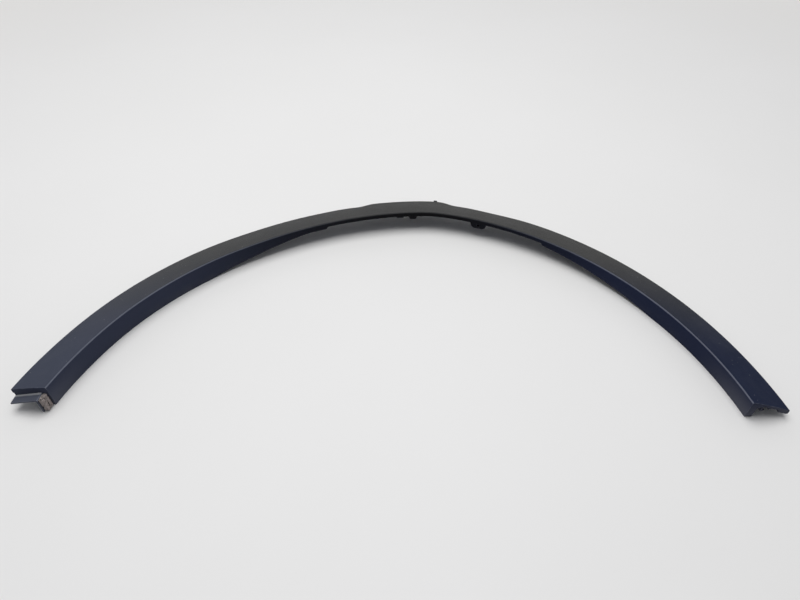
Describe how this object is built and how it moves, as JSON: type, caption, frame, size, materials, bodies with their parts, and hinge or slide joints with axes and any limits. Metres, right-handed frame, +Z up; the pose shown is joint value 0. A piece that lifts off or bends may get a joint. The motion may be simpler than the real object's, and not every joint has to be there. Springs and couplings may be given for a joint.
{
  "type": "wheel arch trim",
  "caption": "Moulded plastic trim that edges a car's wheel opening: a sloping arched face, a return flange into the opening, a screw lug and push clips behind.",
  "frame": {"origin": "middle of the part's footprint, on the floor it lies on", "axes": "+X along the car towards the end that has no foam pad, +Y from the wheel centre to the top of the arch, +Z up, away from the car's side when the trim is fitted"},
  "size_m": [0.8308, 0.3754, 0.0301],
  "materials": {
    "trim_plastic": "fine-grained black moulding, dusty from use",
    "foam": "grey-brown open-cell foam",
    "clip_plastic": "natural nylon"
  },
  "bodies": {
    "root": {"arch_trim": "trim_plastic", "end_foam_pad": "foam", "push_clip_1": "clip_plastic", "push_clip_2": "clip_plastic", "push_clip_3": "clip_plastic", "push_clip_4": "clip_plastic", "push_clip_5": "clip_plastic", "push_clip_6": "clip_plastic"}
  },
  "joints": []
}
